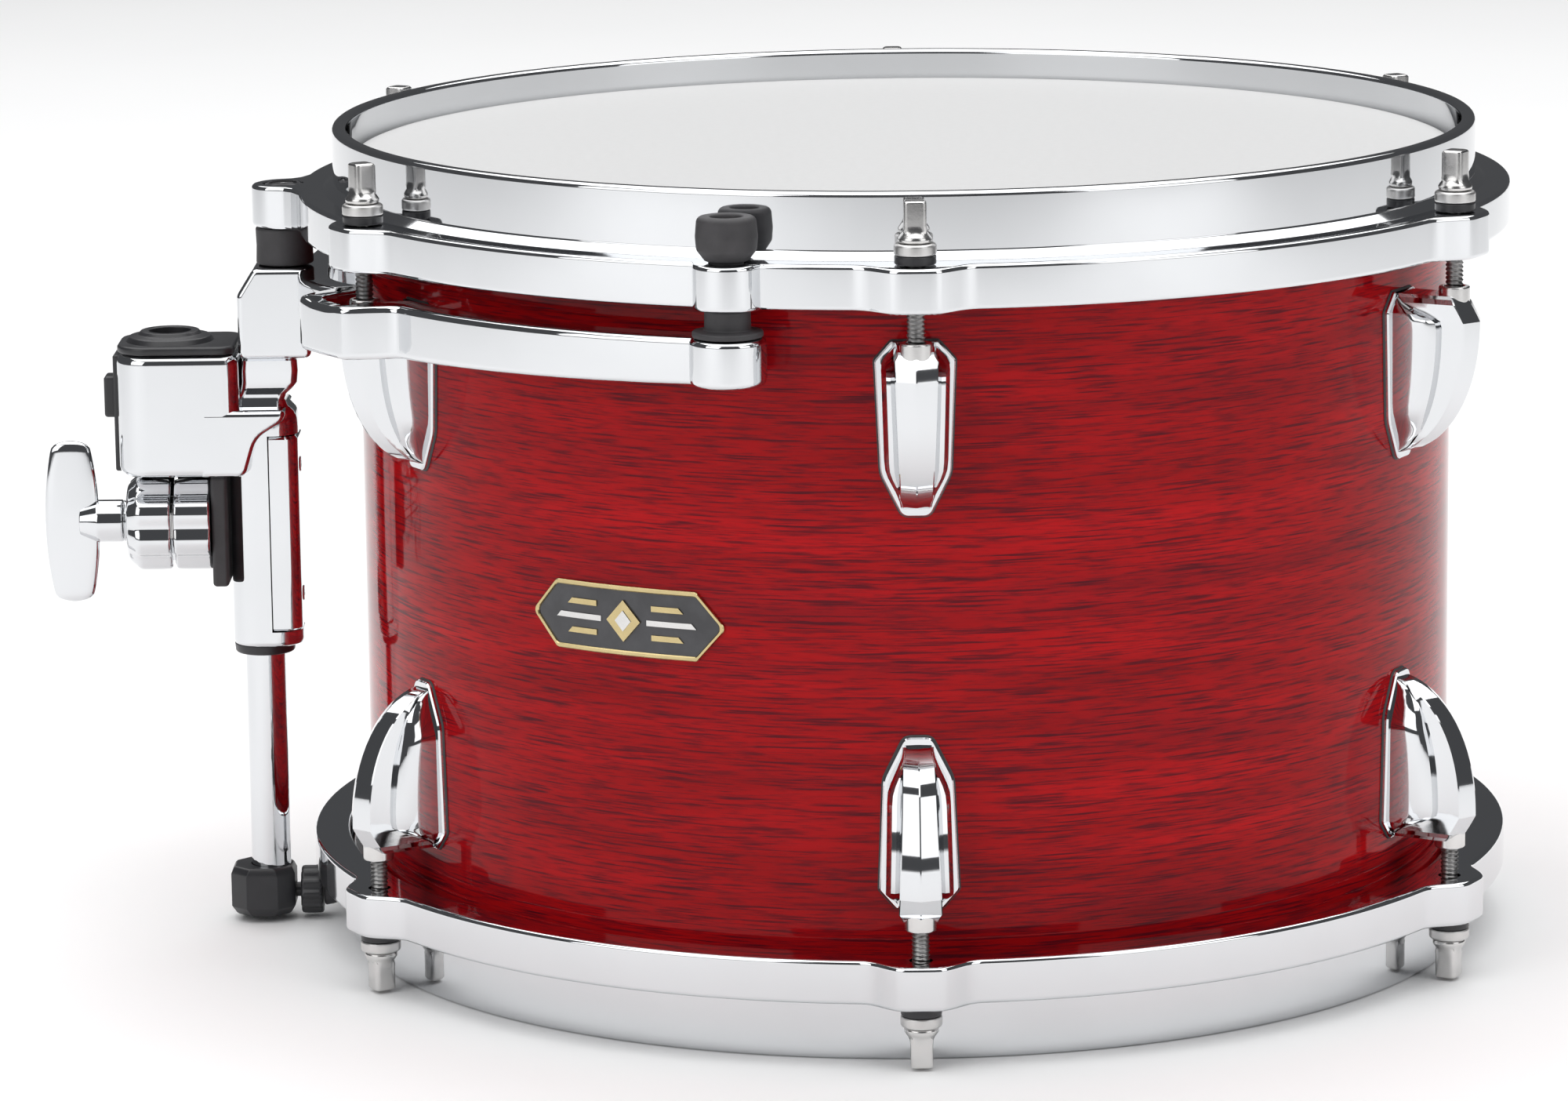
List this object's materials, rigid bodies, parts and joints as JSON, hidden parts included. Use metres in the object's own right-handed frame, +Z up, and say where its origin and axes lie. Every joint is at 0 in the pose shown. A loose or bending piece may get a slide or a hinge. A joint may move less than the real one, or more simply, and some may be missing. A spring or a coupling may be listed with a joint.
{
  "type": "tom tom drum",
  "caption": "Rack tom drum with a red lacquered wood-grain shell, die-cast chrome hoops, teardrop lugs and a rubber-cushioned suspension mount.",
  "frame": {"origin": "centre of the batter head's playing surface", "axes": "+Z up along the drum's axis, out of the batter head; -X toward the suspension mount and its holder-rod clamp; -Y toward the first lug"},
  "size_m": [0.4442, 0.38, 0.2466],
  "materials": {
    "red_lacquer": "clear gloss lacquer over red-stained wood with dark horizontal grain",
    "chrome": "mirror chrome plate on die castings",
    "bright_steel": "nickel-plated steel",
    "coated_film": "white coated polyester film",
    "black_rubber": "matt moulded rubber",
    "black_plastic": "satin moulded nylon"
  },
  "bodies": {
    "drum": {"shell": "red_lacquer", "batter_head": "coated_film", "resonant_head": "coated_film", "batter_hoop": "chrome", "resonant_hoop": "chrome", "lug_batter_1": "chrome", "lug_batter_2": "chrome", "lug_batter_3": "chrome", "lug_batter_4": "chrome", "lug_batter_5": "chrome", "lug_batter_6": "chrome", "lug_resonant_1": "chrome", "lug_resonant_2": "chrome", "lug_resonant_3": "chrome", "lug_resonant_4": "chrome", "lug_resonant_5": "chrome", "lug_resonant_6": "chrome", "suspension_frame": "chrome", "grommet_front": "black_rubber", "grommet_rear": "black_rubber", "grommet_centre": "black_rubber", "grommet_bolt_front": "bright_steel", "grommet_bolt_rear": "bright_steel", "grommet_bolt_centre": "bright_steel", "clamp_bracket": "chrome", "sleeve_clamp_cap": "chrome", "rod_socket_bush": "black_plastic", "clamp_seat": "chrome", "clamp_pad": "black_rubber", "clamp_eye_bolt": "bright_steel"},
    "washer_batter_1": {"rod_washer_batter_1": "bright_steel"},
    "rod_batter_1": {"tension_rod_batter_1": "bright_steel"},
    "washer_batter_2": {"rod_washer_batter_2": "bright_steel"},
    "rod_batter_2": {"tension_rod_batter_2": "bright_steel"},
    "washer_batter_3": {"rod_washer_batter_3": "bright_steel"},
    "rod_batter_3": {"tension_rod_batter_3": "bright_steel"},
    "washer_batter_4": {"rod_washer_batter_4": "bright_steel"},
    "rod_batter_4": {"tension_rod_batter_4": "bright_steel"},
    "washer_batter_5": {"rod_washer_batter_5": "bright_steel"},
    "rod_batter_5": {"tension_rod_batter_5": "bright_steel"},
    "washer_batter_6": {"rod_washer_batter_6": "bright_steel"},
    "rod_batter_6": {"tension_rod_batter_6": "bright_steel"},
    "washer_resonant_1": {"rod_washer_resonant_1": "bright_steel"},
    "rod_resonant_1": {"tension_rod_resonant_1": "bright_steel"},
    "washer_resonant_2": {"rod_washer_resonant_2": "bright_steel"},
    "rod_resonant_2": {"tension_rod_resonant_2": "bright_steel"},
    "washer_resonant_3": {"rod_washer_resonant_3": "bright_steel"},
    "rod_resonant_3": {"tension_rod_resonant_3": "bright_steel"},
    "washer_resonant_4": {"rod_washer_resonant_4": "bright_steel"},
    "rod_resonant_4": {"tension_rod_resonant_4": "bright_steel"},
    "washer_resonant_5": {"rod_washer_resonant_5": "bright_steel"},
    "rod_resonant_5": {"tension_rod_resonant_5": "bright_steel"},
    "washer_resonant_6": {"rod_washer_resonant_6": "bright_steel"},
    "rod_resonant_6": {"tension_rod_resonant_6": "bright_steel"},
    "clamp_shoe_body": {"clamp_shoe": "chrome"},
    "wing_nut_body": {"wing_nut": "chrome"},
    "stabiliser": {"stabiliser_rod": "chrome"},
    "foot": {"foot_block": "black_plastic"},
    "foot_tip_body": {"foot_tip": "black_rubber"},
    "foot_thumbscrew_body": {"foot_thumbscrew": "black_plastic"}
  },
  "joints": [
    {"name": "washer_lift_batter_1", "type": "slide", "parent": "drum", "child": "washer_batter_1", "axis": [0, 0, 1], "range_m": [0, 0.0042]},
    {"name": "rod_turn_batter_1", "type": "hinge", "parent": "washer_batter_1", "child": "rod_batter_1", "pos_m": [0, -0.1813, -0.1145], "axis": [0, 0, 1], "range_deg": [0, 1440]},
    {"name": "washer_lift_batter_2", "type": "slide", "parent": "drum", "child": "washer_batter_2", "axis": [0, 0, 1], "range_m": [0, 0.0042]},
    {"name": "rod_turn_batter_2", "type": "hinge", "parent": "washer_batter_2", "child": "rod_batter_2", "pos_m": [0.15701, -0.09065, -0.1145], "axis": [0, 0, 1], "range_deg": [0, 1440]},
    {"name": "washer_lift_batter_3", "type": "slide", "parent": "drum", "child": "washer_batter_3", "axis": [0, 0, 1], "range_m": [0, 0.0042]},
    {"name": "rod_turn_batter_3", "type": "hinge", "parent": "washer_batter_3", "child": "rod_batter_3", "pos_m": [0.15701, 0.09065, -0.1145], "axis": [0, 0, 1], "range_deg": [0, 1440]},
    {"name": "washer_lift_batter_4", "type": "slide", "parent": "drum", "child": "washer_batter_4", "axis": [0, 0, 1], "range_m": [0, 0.0042]},
    {"name": "rod_turn_batter_4", "type": "hinge", "parent": "washer_batter_4", "child": "rod_batter_4", "pos_m": [0, 0.1813, -0.1145], "axis": [0, 0, 1], "range_deg": [0, 1440]},
    {"name": "washer_lift_batter_5", "type": "slide", "parent": "drum", "child": "washer_batter_5", "axis": [0, 0, 1], "range_m": [0, 0.0042]},
    {"name": "rod_turn_batter_5", "type": "hinge", "parent": "washer_batter_5", "child": "rod_batter_5", "pos_m": [-0.15701, 0.09065, -0.1145], "axis": [0, 0, 1], "range_deg": [0, 1440]},
    {"name": "washer_lift_batter_6", "type": "slide", "parent": "drum", "child": "washer_batter_6", "axis": [0, 0, 1], "range_m": [0, 0.0042]},
    {"name": "rod_turn_batter_6", "type": "hinge", "parent": "washer_batter_6", "child": "rod_batter_6", "pos_m": [-0.15701, -0.09065, -0.1145], "axis": [0, 0, 1], "range_deg": [0, 1440]},
    {"name": "washer_lift_resonant_1", "type": "slide", "parent": "drum", "child": "washer_resonant_1", "axis": [0, 0, -1], "range_m": [0, 0.0042]},
    {"name": "rod_turn_resonant_1", "type": "hinge", "parent": "washer_resonant_1", "child": "rod_resonant_1", "pos_m": [0, -0.1813, -0.1145], "axis": [0, 0, -1], "range_deg": [0, 1440]},
    {"name": "washer_lift_resonant_2", "type": "slide", "parent": "drum", "child": "washer_resonant_2", "axis": [0, 0, -1], "range_m": [0, 0.0042]},
    {"name": "rod_turn_resonant_2", "type": "hinge", "parent": "washer_resonant_2", "child": "rod_resonant_2", "pos_m": [0.15701, -0.09065, -0.1145], "axis": [0, 0, -1], "range_deg": [0, 1440]},
    {"name": "washer_lift_resonant_3", "type": "slide", "parent": "drum", "child": "washer_resonant_3", "axis": [0, 0, -1], "range_m": [0, 0.0042]},
    {"name": "rod_turn_resonant_3", "type": "hinge", "parent": "washer_resonant_3", "child": "rod_resonant_3", "pos_m": [0.15701, 0.09065, -0.1145], "axis": [0, 0, -1], "range_deg": [0, 1440]},
    {"name": "washer_lift_resonant_4", "type": "slide", "parent": "drum", "child": "washer_resonant_4", "axis": [0, 0, -1], "range_m": [0, 0.0042]},
    {"name": "rod_turn_resonant_4", "type": "hinge", "parent": "washer_resonant_4", "child": "rod_resonant_4", "pos_m": [0, 0.1813, -0.1145], "axis": [0, 0, -1], "range_deg": [0, 1440]},
    {"name": "washer_lift_resonant_5", "type": "slide", "parent": "drum", "child": "washer_resonant_5", "axis": [0, 0, -1], "range_m": [0, 0.0042]},
    {"name": "rod_turn_resonant_5", "type": "hinge", "parent": "washer_resonant_5", "child": "rod_resonant_5", "pos_m": [-0.15701, 0.09065, -0.1145], "axis": [0, 0, -1], "range_deg": [0, 1440]},
    {"name": "washer_lift_resonant_6", "type": "slide", "parent": "drum", "child": "washer_resonant_6", "axis": [0, 0, -1], "range_m": [0, 0.0042]},
    {"name": "rod_turn_resonant_6", "type": "hinge", "parent": "washer_resonant_6", "child": "rod_resonant_6", "pos_m": [-0.15701, -0.09065, -0.1145], "axis": [0, 0, -1], "range_deg": [0, 1440]},
    {"name": "clamp_shoe_slide", "type": "slide", "parent": "drum", "child": "clamp_shoe_body", "axis": [-1, 0, 0], "range_m": [0, 0.0037]},
    {"name": "wing_nut_turn", "type": "hinge", "parent": "clamp_shoe_body", "child": "wing_nut_body", "pos_m": [-0.2381, 0, -0.113], "axis": [-1, 0, 0], "range_deg": [0, 1080]},
    {"name": "stabiliser_slide", "type": "slide", "parent": "drum", "child": "stabiliser", "axis": [0, 0, 1], "range_m": [-0.02, 0]},
    {"name": "foot_swivel", "type": "hinge", "parent": "stabiliser", "child": "foot", "pos_m": [-0.1962, 0, -0.2206], "axis": [0, 0, 1], "range_deg": [-90, 90]},
    {"name": "foot_tip_slide", "type": "slide", "parent": "foot", "child": "foot_tip_body", "axis": [-1, 0, 0], "range_m": [0, 0.00149]},
    {"name": "thumbscrew_turn", "type": "hinge", "parent": "foot_tip_body", "child": "foot_thumbscrew_body", "pos_m": [-0.187, 0, -0.2292], "axis": [-1, 0, 0], "range_deg": [0, 540]}
  ],
  "couplings": [
    {"joint": "rod_turn_batter_1", "follows": "washer_lift_batter_1", "rad_per_m": 5938.7},
    {"joint": "rod_turn_batter_2", "follows": "washer_lift_batter_2", "rad_per_m": 5938.7},
    {"joint": "rod_turn_batter_3", "follows": "washer_lift_batter_3", "rad_per_m": 5938.7},
    {"joint": "rod_turn_batter_4", "follows": "washer_lift_batter_4", "rad_per_m": 5938.7},
    {"joint": "rod_turn_batter_5", "follows": "washer_lift_batter_5", "rad_per_m": 5938.7},
    {"joint": "rod_turn_batter_6", "follows": "washer_lift_batter_6", "rad_per_m": 5938.7},
    {"joint": "rod_turn_resonant_1", "follows": "washer_lift_resonant_1", "rad_per_m": 5938.7},
    {"joint": "rod_turn_resonant_2", "follows": "washer_lift_resonant_2", "rad_per_m": 5938.7},
    {"joint": "rod_turn_resonant_3", "follows": "washer_lift_resonant_3", "rad_per_m": 5938.7},
    {"joint": "rod_turn_resonant_4", "follows": "washer_lift_resonant_4", "rad_per_m": 5938.7},
    {"joint": "rod_turn_resonant_5", "follows": "washer_lift_resonant_5", "rad_per_m": 5938.7},
    {"joint": "rod_turn_resonant_6", "follows": "washer_lift_resonant_6", "rad_per_m": 5938.7},
    {"joint": "wing_nut_turn", "follows": "clamp_shoe_slide", "rad_per_m": 5026.5},
    {"joint": "thumbscrew_turn", "follows": "foot_tip_slide", "rad_per_m": 6283.2}
  ]
}
